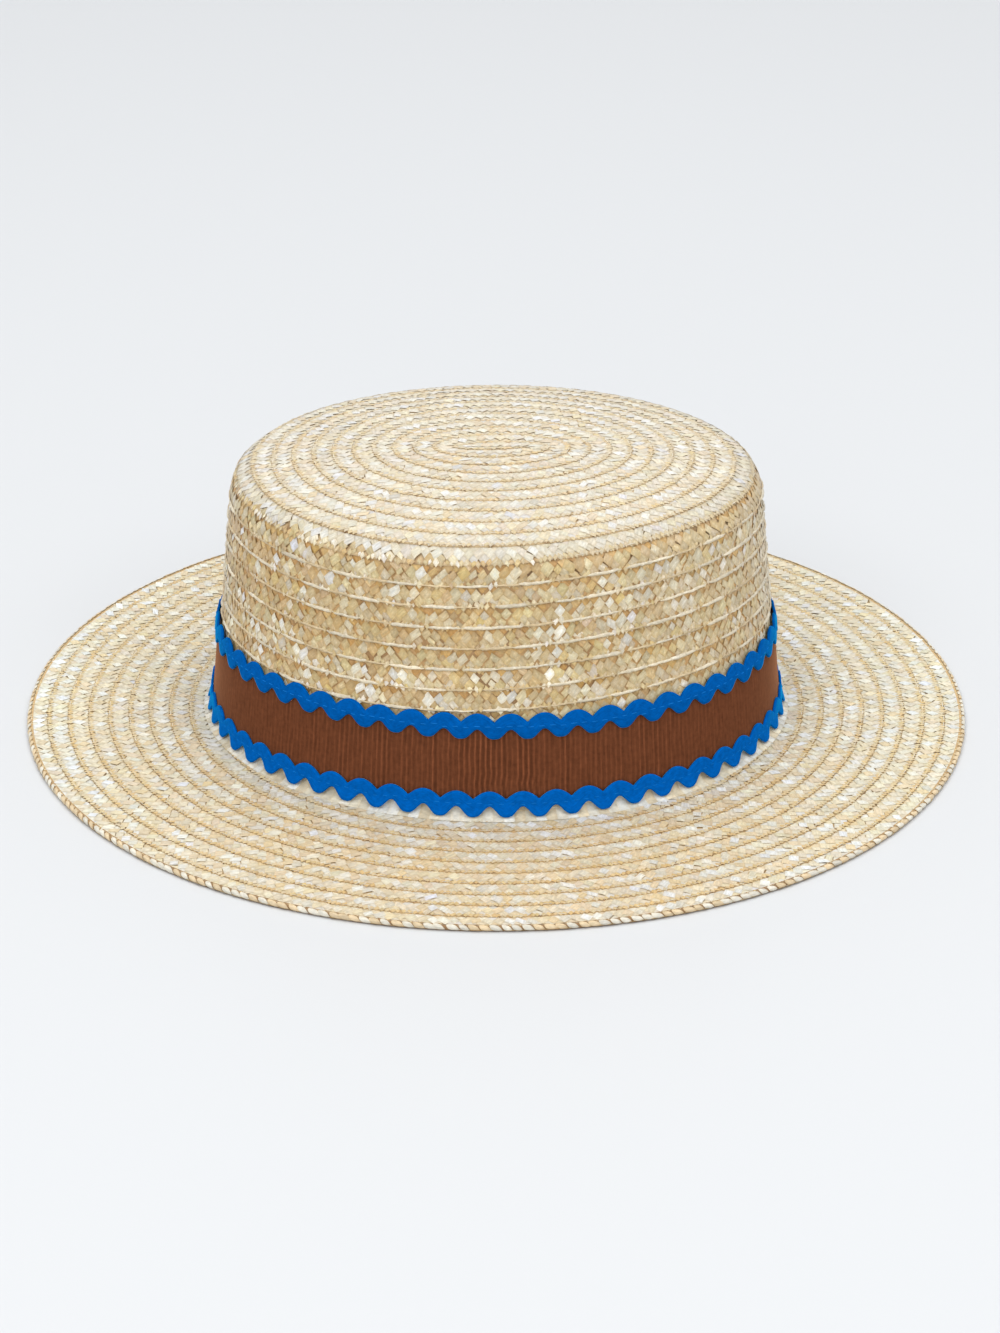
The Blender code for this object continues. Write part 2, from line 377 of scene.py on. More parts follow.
def brim_back(turn, across, outward):
    radius = np.minimum(brim_row(turn) + across, BRIM_RADIUS)
    heading = brim_heading(turn)
    lap = BACK_LAP * np.clip(1 - across / ROW_PITCH, 0, 1)
    height = BRIM_UNDER - lap - outward
    return stacked(radius * np.cos(heading), radius * np.sin(heading), height)


# The brim's edge: depth and half height of its rounded section, its distances from the floor and from
# the plait, middle and half of the turn that a strand takes round it, how far a strand leans and bulges,
# how much flatter its ends are, its filled share and taper, the scatter of its place, width and
# brightness, how many are pale, and how far the grain moves on from one to the next
EDGE_DEPTH = 0.00105
EDGE_HALF_HEIGHT = 0.00102
EDGE_LIFT = 0.0001
EDGE_LEVEL = EDGE_HALF_HEIGHT + EDGE_LIFT
EDGE_GAP = 0.0002
EDGE_MIDDLE = radians(18)
EDGE_TURN = radians(84)
EDGE_LEAN = 0.0009
EDGE_BULGE = 0.00022
EDGE_FLATTEN = 0.4
EDGE_FILL = 0.47
EDGE_TAPER = 0.45
EDGE_SHIFT = 0.0002
EDGE_WIDTH_SCATTER = 0.10
EDGE_SHADE_SCATTER = 0.06
EDGE_PALE = 0.5
EDGE_GRAIN = 1.3

# The core under the edge's strands: its dark colour in front, painted shade in the pits between the
# strands, how fast that sets in, and its section
EDGE_PIT_SHADE = (0.330, 0.190, 0.085)
EDGE_FRONT = 1.2
EDGE_CORE_DEPTHS = (0.0020, 0.0005)
EDGE_CORE_LEVELS = (0.0003, 0.00165)

# Laps of the rows' back, level of the brim's underside, rows of the brim, and the spirals: turns that
# the crown's runs on past its foot, turns of both, and step along them
BACK_LAP = 0.00025
BRIM_UNDER = 0.00075
BRIM_ROWS = 11
SPARE_TURNS = 1.4
CROWN_TURNS = tau * ((ROWS_END + TIP_HALF_WIDTH) / ROW_PITCH + SPARE_TURNS)
BRIM_TURNS = tau * (BRIM_ROWS + 1)
TURN_STEP = radians(0.5)


class Strip:
    """A strip of plait wound in a spiral, measured along its middle."""

    def __init__(self, place, turns):
        self.place = place
        self.turns = np.arange(0, turns, TURN_STEP)
        points = place(self.turns, np.full(len(self.turns), ROW_PITCH / 2), 0.0)
        steps = np.linalg.norm(np.diff(points, axis=0), axis=1)
        self.length = np.concatenate([[0], np.cumsum(np.maximum(steps, 1e-7))])

    def turn(self, length):
        return np.interp(length, self.length, self.turns)

    def cells(self):
        return int(self.length[-1] / CELL)


def strand_colours(rng, strands, look):
    """Colour of each strand of the plait for each cell of its length: straws are spliced as they end.

    The pale strands share stretches of dull and of bright straw, so that bright cells come in groups; on
    the side the bright ones are partly painted glints.
    """
    count = strands + 4 * STRANDS
    colours = np.zeros((STRANDS, count, 3))
    groups = rng.random(count // GROUP + 1)
    for strand in range(STRANDS):
        at = 0
        while at < count:
            pale = strand < PALE_STRANDS
            if rng.random() < STRAY_SHARE:
                pale = not pale
            straws = look["pale"] if pale else look["tan"]
            weights = np.array([weight for _, weight in straws])
            draw = groups[at // GROUP] if pale and rng.random() < GROUP_SHARE else rng.random()
            pick = int(np.searchsorted(np.cumsum(weights) / weights.sum(), draw))
            span = GROUP if pale else int(rng.integers(*STRAW_SPAN))
            shade = 1 + STRAW_SCATTER * rng.standard_normal()
            colours[strand, at:at + span] = np.array(straws[pick][0]) * shade
            at += span
    return colours


def patch_faces(patches, columns, rows):
    """Quads of many equal grids of vertices, one after the other."""
    grid = np.arange(columns * rows).reshape(columns, rows)
    quads = np.stack([grid[:-1, :-1], grid[1:, :-1], grid[1:, 1:], grid[:-1, 1:]], axis=-1)
    quads = quads.reshape(-1, 4)
    return (quads[None] + np.arange(patches)[:, None, None] * columns * rows).reshape(-1, 4)


class Parts:
    """Gathers points, quads, colours and grain, to be joined as one mesh."""

    def __init__(self):
        self.points = []
        self.faces = []
        self.colours = []
        self.grain = []
        self.count = 0

    def add(self, points, colours, grain, flip=False):
        """Points are patches by columns by rows. Colours and grain are given per patch or per point."""
        patches, columns, rows = points.shape[:3]
        faces = patch_faces(patches, columns, rows) + self.count
        self.faces.append(faces[:, ::-1] if flip else faces)
        self.points.append(points.reshape(-1, 3))
        shape = (patches, columns, rows, 3)
        self.colours.append(np.broadcast_to(colours, shape).reshape(-1, 3))
        self.grain.append(np.broadcast_to(grain, shape).reshape(-1, 3))
        self.count += patches * columns * rows

    def build(self, name, material):
        points = np.concatenate(self.points)
        faces = np.concatenate(self.faces)
        colours = np.clip(np.concatenate(self.colours), 0, 1)
        mesh = bpy.data.meshes.new(name)
        mesh.vertices.add(len(points))
        mesh.vertices.foreach_set("co", points.astype(np.float32).ravel())
        mesh.loops.add(len(faces) * 4)
        mesh.loops.foreach_set("vertex_index", faces.astype(np.int32).ravel())
        mesh.polygons.add(len(faces))
        mesh.polygons.foreach_set("loop_start", np.arange(0, len(faces) * 4, 4, dtype=np.int32))
        mesh.update(calc_edges=True)
        tint = mesh.attributes.new("tint", "FLOAT_COLOR", "POINT")
        rgba = np.concatenate([colours, np.ones((len(colours), 1))], axis=1)
        tint.data.foreach_set("color", rgba.astype(np.float32).ravel())
        grain = mesh.attributes.new("grain", "FLOAT_VECTOR", "POINT")
        grain.data.foreach_set("vector", np.concatenate(self.grain).astype(np.float32).ravel())
        mesh.validate()
        mesh.shade_smooth()
        mesh.materials.append(material)
        piece = bpy.data.objects.new(name, mesh)
        bpy.context.scene.collection.objects.link(piece)
        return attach(piece, "root")


def add_cells(parts, strip, lanes, look, rng, keep, facets, flip):
    """Covers a strip with the plait's cells, lane by lane, with some facets along the larger ones."""
    count = strip.cells()
    colours = strand_colours(rng, count, look)
    for across, half, rise, way, offset, tone, many, calm in lanes:
        steps = facets if many == 1 and tone != "notch" else 2
        line = np.linspace(-1, 1, steps + 1)
        a, b = np.meshgrid(line, line, indexing="ij")
        index = np.arange(count * many)
        pitch = CELL / many
        stagger = 0.5 if way < 0 else 0.0
        scatter = rng.standard_normal((7, len(index), 1, 1))
        overlap = look["hem_overlap" if many > 1 else "overlap"]
        size = (1 + look["spread"] * CELL_SIZE_SCATTER * scatter[0]) * overlap
        lean = CELL_LEAN_SCATTER * scatter[6]
        along = pitch / 4 * ((a + b) + lean * (a - b)) * size
        spread = look["spread"] * CELL_SCATTER
        middle = (index[:, None, None] + stagger) * pitch + spread * scatter[1]
        turn = strip.turn(middle + along)
        over = across + spread * scatter[2] + half / 2 * (a - b) * way * size
        dome = CELL_BULGE * (1 - b * b) - CELL_DIP * a * a
        dome = dome + CELL_TILT * (scatter[3] * a + scatter[4] * b)
        x = strip.place(strip.turn(middle), across + 0 * middle, 0.0)[..., 0]
        right = look["even_right"] * np.interp(x, RIGHT_SIDE, (0.0, 1.0))
        ends = END_CALM * np.interp(np.abs(x), END_REACH, (0.0, 1.0))
        height = rise + look["relief"] * (1 - right) * (1 - ends) * dome
        points = strip.place(turn, over, height)
        held = keep(points[:, steps // 2, steps // 2])
        cell = index // many
        tint = colours[(cell + offset) % STRANDS, cell + offset]
        # On the right the colours are drawn to their mean, so the painted glints fade there
        tint = tint + (calm + right[:, :, 0]) * (tint.mean(axis=0) - tint)
        # Painted shade: the tip's straw darkens towards the shoulder
        tint = tint * np.interp(points[:, 0, 0, 2], SHOULDER_LEVELS, (look["shoulder"], 1.0))[:, None]
        tint = np.array(look.get(tone, tone)) * tint * (1 + look["scatter"] * scatter[5][:, :, 0])
        tint = tint * (1 + np.array(look["end_tone"]) * (points[:, 0, 0, :1] / BRIM_RADIUS) ** 2)
        warmth = look["warmth"] * rng.standard_normal((len(index), 1))
        tint = tint * (1 + warmth * np.array(WARMTH_TINT))
        grain = stacked(a[None], b[None], index[:, None, None] * CELL_GRAIN)
        same_way = way > 0
        parts.add(points[held], tint[held][:, None, None, :], grain[held], flip=flip == same_way)


def add_ridge(parts, strip, look, rng, keep, flip):
    """Edge straws: each runs along the row's edge for a few cells and dips under at both ends."""
    step = look["ridge_cells"] * CELL
    count = int(strip.cells() * CELL / step)
    columns, rows = look["ridge_mesh"]
    run = np.linspace(-1, 1, columns)
    around = np.linspace(-0.5, 1.0, rows) * np.pi
    a, c = np.meshgrid(run, around, indexing="ij")
    index = np.arange(count)
    scatter = rng.standard_normal((3, count, 1, 1))
    pale = rng.random(count) < np.where(index % 2 == 0, *RIDGE_PALE)
    middle = (index[:, None, None] + 0.5) * step + RIDGE_SHIFT * step * scatter[0]
    turn = strip.turn(middle + a * step * RIDGE_HALF * look["ridge_fill"])
    radius = look["ridge_radius"] * (1 + RIDGE_SIZE_SCATTER * scatter[1]) * (1 - RIDGE_TAPER * a ** 4)
    radius = radius * np.where(pale, 1.0, RIDGE_DARK_SIZE)[:, None, None]
    crumple = rng.standard_normal((2, count, columns, 1))
    radius = radius * (1 + RIDGE_CRUMPLE * crumple[0])
    over = RIDGE_ACROSS + RIDGE_WOBBLE * look["ridge_radius"] * crumple[1] + radius * np.cos(c)
    height = RIDGE_RISE - RIDGE_DIP * a ** 4 + radius * np.sin(c)
    points = strip.place(turn, over, height)
    held = keep(points[:, columns // 2, rows // 2])
    light, dark = look["ridge"]
    shade = 1 + RIDGE_SHADE_SCATTER * scatter[2][:, :, 0]
    tint = np.where(pale[:, None], np.array(light), np.array(dark)) * shade
    tint = np.broadcast_to(tint[:, None, None, :], points.shape)
    along, across, onward, slant = RIDGE_GRAIN
    grain = stacked(a[None] * along, c[None] / across, index[:, None, None] * onward + a[None] * slant)
    parts.add(points[held], tint[held], grain[held], flip=flip)


# The straw's dark core under the cells: least depth of its pits' colour, painted shade, and its
# section as across, height and share of its brightness, which drops on the lap's edge face as painted
# shade
PIT_LEAST = 0.5
CORE_SECTION = (
    (-0.0011, -0.00030, 1.00),
    (0.0000, -0.00026, 1.00),
    (0.0058, -0.00020, 0.95),
    (0.0067, -0.00010, 0.85),
    (0.0069, -0.00100, 0.78),
)


def add_core(parts, strip, look, rng, keep, section, flip):
    """A dark strip under the cells, partly painted shade, which shows in the pits between them and along
    the row's edge.
    """
    turns = strip.turn(np.arange(0, strip.length[-1], CELL / look["core_steps"]))
    across = np.array([point[0] for point in section])
    height = np.array([point[1] for point in section])
    points = strip.place(turns[:, None], across[None], height[None])
    held = keep(points[:, 1])
    spans = held[:-1] & held[1:]
    # Painted shade: darker pits at random, a darker edge face from the section, and end_shade at the ends
    pits = rng.random(len(turns)) < look["pit_share"]
    deep = pits * (PIT_LEAST + (1 - PIT_LEAST) * rng.random(len(turns)))
    tint = np.array(look["core"]) * (1 - deep[:, None]) + np.array(look["pit"]) * deep[:, None]
    tint = tint[:, None, :] * np.array([point[2] for point in section])[:, None]
    tint = tint * (1 - look["end_shade"] * (points[:, 0, 0] / BRIM_RADIUS) ** 2)[:, None, None]
    pairs = np.stack([points[:-1], points[1:]], axis=1)[spans]
    tints = np.stack([tint[:-1], tint[1:]], axis=1)[spans]
    parts.add(pairs, tints, np.zeros(3), flip=flip)


def on_tip(points):
    return points[:, 2] > TIP_LEVEL


def on_side(points):
    return ~on_tip(points)


def under_shoulder(points):
    return points[:, 2] < RIDGE_LEVEL


def everywhere(points):
    return np.ones(len(points), bool)


def outside_oval(ring, points, slack):
    return np.hypot(points[:, 0] / (ring[0] + slack), points[:, 1] / (ring[1] + slack)) > 1


# How far from the brim's edge the plait of the top and of the underside ends, and how far from the
# head opening the underside's starts
TOP_END = 0.0011
UNDER_END = 0.0004
UNDER_START = 0.0016


def on_brim_top(points):
    seat = side_ring(FOOT_Z, ROW_LAP + GAP)
    radius = np.hypot(points[:, 0], points[:, 1])
    return outside_oval(seat, points, 0.0) & (radius < BRIM_RADIUS - TOP_END)


def on_brim_under(points):
    hole = side_ring(FOOT_Z, -STRAW_WALL)
    radius = np.hypot(points[:, 0], points[:, 1])
    return outside_oval(hole, points, UNDER_START) & (radius < BRIM_RADIUS - UNDER_END)


def build_straw():
    """All the straw: the crown's tip, side and inside, and the brim's top, edge and underside."""
    crown = Strip(crown_front, CROWN_TURNS)
    crown_in = Strip(crown_back, CROWN_TURNS)
    brim = Strip(brim_front, BRIM_TURNS)
    brim_in = Strip(brim_back, BRIM_TURNS)
    side = straw_material("plaited_straw_side", SIDE_LOOK)
    top = straw_material("plaited_straw_top", TIP_LOOK)
    made = {}
    jobs = (
        ("crown_tip", crown, LANES, TIP_LOOK, on_tip, 2, False, "straw_crown"),
        ("crown_side", crown, LANES, SIDE_LOOK, on_side, 3, False, "straw_crown"),
        ("crown_inside", crown_in, BACK_LANES, SIDE_LOOK, everywhere, 2, True, "straw_crown"),
        ("brim_top", brim, LANES, BRIM_LOOK, on_brim_top, 2, False, "straw_brim"),
        ("brim_underside", brim_in, BACK_LANES, BRIM_LOOK, on_brim_under, 2, True, "straw_brim"),
    )
    for name, strip, lanes, look, keep, facets, inner, slot in jobs:
        rng = np.random.default_rng(SEED)
        parts = Parts()
        add_cells(parts, strip, lanes, look, rng, keep, facets, flip=inner)
        if not inner:
            add_ridge(parts, strip, look, rng, under_shoulder if keep is on_side else keep, flip=True)
            add_core(parts, strip, look, rng, keep, CORE_SECTION, flip=True)
        else:
            add_core(parts, strip, look, rng, keep, CORE_SECTION[1:3], flip=False)
        if name == "brim_top":
            add_brim_edge(parts, rng)
            add_foot(parts, rng)
            add_seat(parts)
        made[name] = parts.build(name, side if look is SIDE_LOOK else top)
    return made


# Points round each oval of a patch
RING_POINTS = 241


def oval_rings(rings):
    """One patch of points from ovals of a half length, a half width and a height."""
    heading = np.linspace(0, tau, RING_POINTS)
    return np.stack([stacked(x * np.cos(heading), y * np.sin(heading), z) for x, y, z in rings])[None]


def add_brim_edge(parts, rng):
    """The brim's edge: strands that lean round it as in a rope, with a row of pits beside them, dark
    with painted shade in front.
    """
    count = round(tau * BRIM_RADIUS / CELL)
    a, b = np.meshgrid(np.linspace(-1, 1, 5), np.linspace(-1, 1, 7), indexing="ij")
    scatter = rng.standard_normal((4, count, 1, 1))
    index = np.arange(count)[:, None, None]
    width = EDGE_FILL * (1 + EDGE_WIDTH_SCATTER * scatter[0]) * (1 - EDGE_TAPER * np.clip(b, 0, 1) ** 2)
    along = (index + a * width) * CELL + b * EDGE_LEAN + EDGE_SHIFT * scatter[1]
    around = EDGE_MIDDLE + b * EDGE_TURN
    bulge = EDGE_BULGE * (1 - a * a) * (1 - EDGE_FLATTEN * b * b) - EDGE_BULGE
    radius = BRIM_RADIUS - EDGE_DEPTH + (EDGE_DEPTH + bulge) * np.cos(around)
    level = EDGE_LEVEL + (EDGE_HALF_HEIGHT + bulge) * np.sin(around)
    heading = -along / BRIM_RADIUS
    points = stacked(radius * np.cos(heading), radius * np.sin(heading), level)
    pale = rng.random(count) < EDGE_PALE
    tint = np.where(pale[:, None], np.array(BRIM_LOOK["pale"][0][0]), np.array(BRIM_LOOK["tan"][1][0]))
    tint = tint * (1 + EDGE_SHADE_SCATTER * scatter[2][:, :, 0])
    grain = stacked(a, b, index * EDGE_GRAIN)
    parts.add(points, tint[:, None, None, :], grain, flip=True)
    inner, outer = (BRIM_RADIUS - depth for depth in EDGE_CORE_DEPTHS)
    low, high = EDGE_CORE_LEVELS
    section = ((inner, high), (outer, high), (outer, low), (inner, low))
    core = oval_rings([(radius, radius, z) for radius, z in section])
    # Painted shade: the core darkens towards the front
    front = np.clip(-EDGE_FRONT * core[..., 1:2] / np.hypot(core[..., :1], core[..., 1:2]), 0, 1)
    tint = np.array(EDGE_PIT_SHADE) * front + np.array(BRIM_LOOK["core"]) * (1 - front)
    parts.add(core, tint, np.zeros(3), flip=True)


# The straw where the side turns into the brim: scatter of its cells' brightness, how far the grain
# reaches across and moves on round the foot, and its section as height and distance out
FOOT_SHADE_SCATTER = 0.09
FOOT_GRAIN = (0.8, 90)
FOOT_SECTION = ((0.0052, 0.0002), (0.0036, 0.0008), (0.0026, 0.0017), (0.0020, 0.0029), (0.0016, 0.0042))


def add_foot(parts, rng):
    """The short curve from the crown's side into the brim, one cell after the other round the foot."""
    count = round(oval_length(FOOT_HALF_LENGTH, FOOT_HALF_WIDTH) / CELL)
    turns, _ = oval_turns(FOOT_HALF_LENGTH, FOOT_HALF_WIDTH, count)
    a = np.linspace(-1, 1, 4)[None, :, None]
    heights = np.array([height for height, _ in FOOT_SECTION])[None, None]
    outwards = np.array([outward for _, outward in FOOT_SECTION])[None, None]
    half_length, half_width, level = side_ring(heights, outwards)
    heading = turns[:, None, None] + a * tau / count / 2
    points = stacked(half_length * np.cos(heading), half_width * np.sin(heading), level)
    tan, _, sandy = (colour for colour, _ in BRIM_LOOK["tan"])
    straws = np.array([tan, sandy, *(colour for colour, _ in BRIM_LOOK["pale"])])
    picks = straws[rng.integers(0, len(straws), count)]
    tint = picks * (1 + FOOT_SHADE_SCATTER * rng.standard_normal((count, 1)))
    reach, onward = FOOT_GRAIN
    across = np.linspace(-reach, reach, len(FOOT_SECTION))[None, None]
    grain = stacked(a, across, turns[:, None, None] * onward)
    parts.add(points, tint[:, None, None, :], grain, flip=False)


# The plain inner rim: how far it runs on under the plait, and how far its top and its underside lie
# below the levels of the seat and of the underside's plait
RIM_OVERLAP = 0.003
RIM_TOP_DROP = 0.0001
RIM_LOW_DROP = 0.0004


def add_seat(parts):
    """The plain inner rim of the brim, under the crown's foot and round the head opening."""
    hole = side_ring(FOOT_Z, -STRAW_WALL)
    seat = side_ring(FOOT_Z, ROW_LAP + GAP + RIM_OVERLAP)
    top = BRIM_SEAT_Z - RIM_TOP_DROP
    low = BRIM_UNDER - RIM_LOW_DROP
    rings = ((seat[0], seat[1], top), (hole[0], hole[1], top), (hole[0], hole[1], low),
             (hole[0] + RIM_OVERLAP, hole[1] + RIM_OVERLAP, low))
    parts.add(oval_rings(rings), np.array(BRIM_LOOK["tan"][0][0]), np.zeros(3), flip=False)


def new_material(name):
    material = bpy.data.materials.new(name)
    material.use_nodes = True
    nodes = material.node_tree.nodes
    return material, nodes, material.node_tree.links, nodes["Principled BSDF"]


def node(nodes, kind, **values):
    made = nodes.new(kind)
    for key, value in values.items():
        if hasattr(made, key):
            setattr(made, key, value)
        else:
            made.inputs[key.replace("_", " ").title()].default_value = value
    return made


# The straw's material: stretch, range and shades of the streaks along a straw, and the roughness that
# they give, how far a cell's border is broken up, as a share of half a cell, and the scale and range
# of the flecks, which are painted glints
STREAK_STRETCH = (0.8, 2.2, 3.0)
STREAK_RANGE = (0.3, 0.7)
STREAK_SHADES = (0.80, 1.14)
STREAK_ROUGHNESS = (0.24, 0.52)
RAGGED = 1.5
FLECK_SCALE = 900.0
FLECK_RANGE = (0.52, 0.68)


def straw_material(name, look):
    """Split straw: each cell has its own tint, with a darker border, painted shade between the cells,
    streaks along it and a soft gloss.
    """
    material, nodes, links, shader = new_material(name)
    tint = node(nodes, "ShaderNodeAttribute", attribute_name="tint")
    grain = node(nodes, "ShaderNodeAttribute", attribute_name="grain")
    stretch = node(nodes, "ShaderNodeVectorMath", operation="MULTIPLY")
    stretch.inputs[1].default_value = STREAK_STRETCH
    links.new(grain.outputs["Vector"], stretch.inputs[0])
    streaks = node(nodes, "ShaderNodeTexNoise", scale=1.0, detail=3.0, roughness=0.6)
    links.new(stretch.outputs[0], streaks.inputs["Vector"])
    shade = map_range(nodes, links, streaks.outputs[0], STREAK_RANGE, STREAK_SHADES)
    bright = node(nodes, "ShaderNodeVectorMath", operation="SCALE")
    links.new(tint.outputs["Color"], bright.inputs[0])
    links.new(shade, bright.inputs["Scale"])
    apart = node(nodes, "ShaderNodeSeparateXYZ")
    size = node(nodes, "ShaderNodeVectorMath", operation="ABSOLUTE")
    links.new(grain.outputs["Vector"], size.inputs[0])
    links.new(size.outputs[0], apart.inputs[0])
    far = node(nodes, "ShaderNodeMath", operation="MAXIMUM")
    links.new(apart.outputs["X"], far.inputs[0])
    links.new(apart.outputs["Y"], far.inputs[1])
    ragged = node(nodes, "ShaderNodeTexNoise", scale=2.0, detail=3.0, roughness=0.6)
    links.new(grain.outputs["Vector"], ragged.inputs["Vector"])
    edge = node(nodes, "ShaderNodeMath", operation="MULTIPLY_ADD")
    links.new(ragged.outputs[0], edge.inputs[0])
    edge.inputs[1].default_value = RAGGED
    links.new(far.outputs[0], edge.inputs[2])
    start = look["border_from"] + RAGGED / 2
    border = map_range(nodes, links, edge.outputs[0], (start, 1 + RAGGED / 2), (0.0, look["border_share"]))
    # Painted shade: the cell darkens towards its border
    edged = node(nodes, "ShaderNodeMix", data_type="RGBA", blend_type="MULTIPLY")
    links.new(border, edged.inputs["Factor"])
    links.new(bright.outputs[0], edged.inputs["A"])
    edged.inputs["B"].default_value = (*look["border"], 1.0)
    place = node(nodes, "ShaderNodeTexCoord")
    spots = node(nodes, "ShaderNodeTexNoise", scale=FLECK_SCALE, detail=2.0, roughness=0.6)
    links.new(place.outputs["Object"], spots.inputs["Vector"])
    # Painted glints: small bright, bluish flecks
    flecked = node(nodes, "ShaderNodeMix", data_type="RGBA", blend_type="MULTIPLY")
    links.new(map_range(nodes, links, spots.outputs[0], FLECK_RANGE, (0.0, 1.0)), flecked.inputs["Factor"])
    links.new(edged.outputs["Result"], flecked.inputs["A"])
    flecked.inputs["B"].default_value = (*look["flecks"], 1.0)
    links.new(flecked.outputs["Result"], shader.inputs["Base Color"])
    shader.inputs["Specular IOR Level"].default_value = look["gloss"]
    rough = map_range(nodes, links, streaks.outputs[0], (0.0, 1.0), STREAK_ROUGHNESS)
    links.new(rough, shader.inputs["Roughness"])
    bump = node(nodes, "ShaderNodeBump", strength=0.35, distance=0.0001)
    links.new(streaks.outputs[0], bump.inputs["Height"])
    links.new(bump.outputs[0], shader.inputs["Normal"])
    return material


def map_range(nodes, links, value, before, after):
    made = node(nodes, "ShaderNodeMapRange", clamp=True)
    made.inputs["From Min"].default_value = before[0]
    made.inputs["From Max"].default_value = before[1]
    made.inputs["To Min"].default_value = after[0]
    made.inputs["To Max"].default_value = after[1]
    links.new(value, made.inputs["Value"])
    return made.outputs[0]


# Ribbon: distance between ribs, their height and their painted light and shade, lighter crests and
# darker grooves, steps for each rib and across the ribbon, a rib's least strength, what it may gain and
# how rarely, the same for its place from the ends to the front and the back, where the painted light
# and shade are stronger, how far a rib sways, how it curls, its sharpness and the level between ribs,
# and how far the ribbon's back lies out
RIB_PITCH = 0.00168
RIB_HEIGHT = 0.00007
RIB_SHADE = 0.30
RIB_STEPS = 6
RIBBON_ROWS = 8
RIB_STRENGTH = (0.4, 1.2, 1.3)
RIB_PLACE = (0.10, 1.00, 4)
RIB_SWAY = 0.12
RIB_CURL = (0.9, 2)
RIB_SHARPNESS = 4
RIB_LEVEL = 0.5
RIBBON_BACK = 0.0002
RIBBON_COLOUR = (0.138, 0.0460, 0.0205)


# Points on an oval from which its length is taken
OVAL_FINE = 7201


def oval_turns(half_length, half_width, count):
    """Angles that part an oval into stretches of equal length, from the +X side on, and its length."""
    fine = np.linspace(0, tau, OVAL_FINE)
    points = np.stack([half_length * np.cos(fine), half_width * np.sin(fine)], axis=-1)
    run = np.concatenate([[0], np.cumsum(np.linalg.norm(np.diff(points, axis=0), axis=1))])
    return np.interp(run[-1] * np.arange(count) / count, run, fine), run[-1]


def oval_length(half_length, half_width):
    return oval_turns(half_length, half_width, 1)[1]


def ring_mesh(name, heights, outwards, turns, tint, grain, material):
    """A closed band: sections of heights and outward distances, by rows, joined round the crown."""
    half_length, half_width, height = side_ring(heights, outwards)
    points = stacked(half_length * np.cos(turns), half_width * np.sin(turns), height)
    columns, rows = points.shape[:2]
    grid = np.arange(columns * rows).reshape(columns, rows)
    following = np.roll(grid, -1, axis=0)
    over = np.roll(grid, -1, axis=1)
    over_following = np.roll(following, -1, axis=1)
    faces = np.stack([grid, following, over_following, over], axis=-1).reshape(-1, 4)
    parts = Parts()
    parts.points = [points.reshape(-1, 3)]
    parts.faces = [faces]
    parts.colours = [np.broadcast_to(tint, points.shape).reshape(-1, 3)]
    parts.grain = [np.broadcast_to(grain, points.shape).reshape(-1, 3)]
    return parts.build(name, material)


def build_ribbon(material):
    """The ribbon, with ribs that run across it and wander a little."""
    middle = side_ring((TRIM_LOW_Z + TRIM_HIGH_Z) / 2, RIBBON_OUTER)
    ribs = round(oval_length(middle[0], middle[1]) / RIB_PITCH)
    turns, length = oval_turns(middle[0], middle[1], ribs * RIB_STEPS)
    rng = np.random.default_rng(SEED)
    level = np.linspace(0, 1, RIBBON_ROWS + 1)
    phase = tau * np.arange(len(turns)) / RIB_STEPS
    least, gain, power = RIB_STRENGTH
    strength = np.repeat(least + gain * rng.random(ribs) ** power, RIB_STEPS)
    least, gain, power = RIB_PLACE
    strength = strength * (least + gain * np.abs(np.sin(turns)) ** power)
    sway = np.cumsum(rng.standard_normal((ribs, RIBBON_ROWS + 1)), axis=0)
    sway = RIB_SWAY * np.repeat(sway - np.linspace(0, 1, ribs)[:, None] * sway[-1], RIB_STEPS, axis=0)
    curl, turning = RIB_CURL
    crest = 0.5 + 0.5 * np.cos(phase[:, None] + curl * np.sin(sway * turning))
    wave = strength[:, None] * (2 * crest ** RIB_SHARPNESS - RIB_LEVEL)
    outer = RIBBON_OUTER - RIB_HEIGHT + RIB_HEIGHT * wave
    height = TRIM_LOW_Z + RIBBON_WIDTH * level
    heights = np.tile(np.concatenate([height, height[::-1]]), (len(turns), 1))
    inner = np.full((len(turns), RIBBON_ROWS + 1), RIBBON_INNER + RIBBON_BACK)
    outwards = np.concatenate([outer, inner], axis=1)
    along = length * np.arange(len(turns)) / len(turns)
    grain = stacked(along[:, None], heights, 0.0)
    # Painted light and shade: lighter crests and darker grooves, stronger at the front and back
    shade = 1 + RIB_SHADE * np.concatenate([wave, np.zeros(wave.shape)], axis=1)
    tint = np.array(RIBBON_COLOUR) * shade[..., None]
    ribbon = ring_mesh("ribbon", heights, outwards, turns[:, None], tint, grain, material)
    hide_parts("ribbon_band")
    return ribbon


# Trims: steps for each wave, points across the tape, share of the thickness at its edges and how
# squarely they turn, width of the back, sharpness of the notches above, sharpness and depth of the
# arches below, how far, how soon and how sharply the free half leans in to the straw above and out
# on it below, how far round the front is, and the first crest's place from there in waves
TRIM_STEPS = 24
TRIM_ACROSS = 9
TRIM_EDGE = 0.55
TRIM_SQUARENESS = 16
TRIM_BACK = 0.96
NOTCH_SHARPNESS = 0.85
ARCH_SHARPNESS = 3
ARCH_DEPTH = 1.08
TRIM_HUG = 0.0005
TRIM_HUG_RATE = 2.5
TRIM_SPLAY = 0.0009
TRIM_SPLAY_RATE = 2
TRIM_SPLAY_POWER = 1.6
FRONT_TURN = 0.75
TRIM_HIGH_CREST = 0.45
TRIM_LOW_CREST = 0.81
TRIM_HIGH_COLOUR = (0.000, 0.090, 0.370)
# The low trim is brighter than the high one: painted light bounced up from the brim
TRIM_LOW_LIT_COLOUR = (0.000, 0.106, 0.445)

